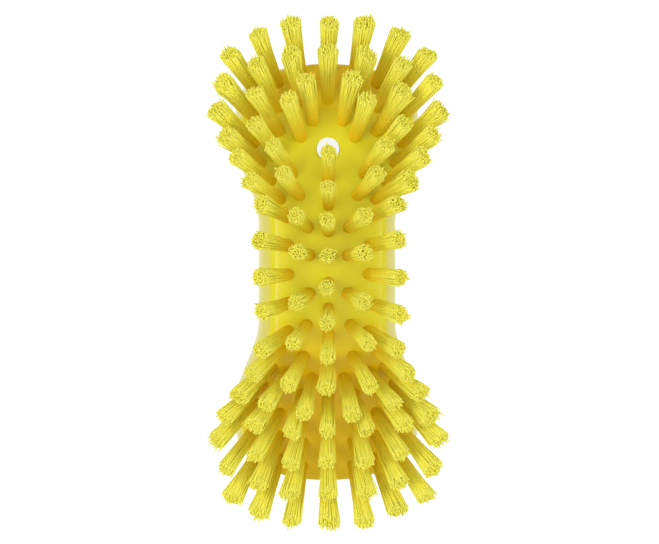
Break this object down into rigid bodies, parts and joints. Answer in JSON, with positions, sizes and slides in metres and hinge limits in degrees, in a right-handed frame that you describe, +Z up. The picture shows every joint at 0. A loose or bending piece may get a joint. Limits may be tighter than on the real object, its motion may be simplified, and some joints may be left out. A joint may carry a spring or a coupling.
{
  "type": "hand scrub brush",
  "caption": "Hourglass hand scrub brush: a domed moulded block with a hanging hole, carrying tufts of stiff filament that fan out over its sides and ends.",
  "frame": {"origin": "middle of the flat on the back that the brush rests on, at z = 0, with the bristles up", "axes": "+Z up through the bristles, +Y along the block to the end with the hanging hole, +X across the block, to the right when it is seen from the bristle side with the hole end up"},
  "size_m": [0.0762, 0.1651, 0.0625],
  "materials": {
    "block": "satin moulded polypropylene, yellow",
    "filament": "stiff yellow filament, satin"
  },
  "bodies": {
    "root": {"block": "block", "tufts_centre_toe_waist": "filament", "tufts_centre_heel_waist": "filament", "tufts_centre_toe_end": "filament", "tufts_centre_heel_end": "filament", "tufts_inner_toe_left": "filament", "tufts_inner_toe_right": "filament", "tufts_inner_heel_left": "filament", "tufts_inner_heel_right": "filament", "tufts_link_toe_left": "filament", "tufts_link_toe_right": "filament", "tufts_link_heel_left": "filament", "tufts_link_heel_right": "filament", "tufts_waist_left": "filament", "tufts_waist_right": "filament", "tufts_flank_toe_left": "filament", "tufts_flank_toe_right": "filament", "tufts_flank_heel_left": "filament", "tufts_flank_heel_right": "filament", "tufts_corner_toe_left": "filament", "tufts_corner_toe_right": "filament", "tufts_corner_heel_left": "filament", "tufts_corner_heel_right": "filament", "tufts_beside_hole_left": "filament", "tufts_beside_hole_right": "filament", "tufts_fan_inner_toe_left": "filament", "tufts_fan_inner_toe_right": "filament", "tufts_fan_inner_heel_left": "filament", "tufts_fan_inner_heel_right": "filament", "tufts_fan_outer_toe_left": "filament", "tufts_fan_outer_toe_right": "filament", "tufts_fan_outer_heel_left": "filament", "tufts_fan_outer_heel_right": "filament"}
  },
  "joints": []
}
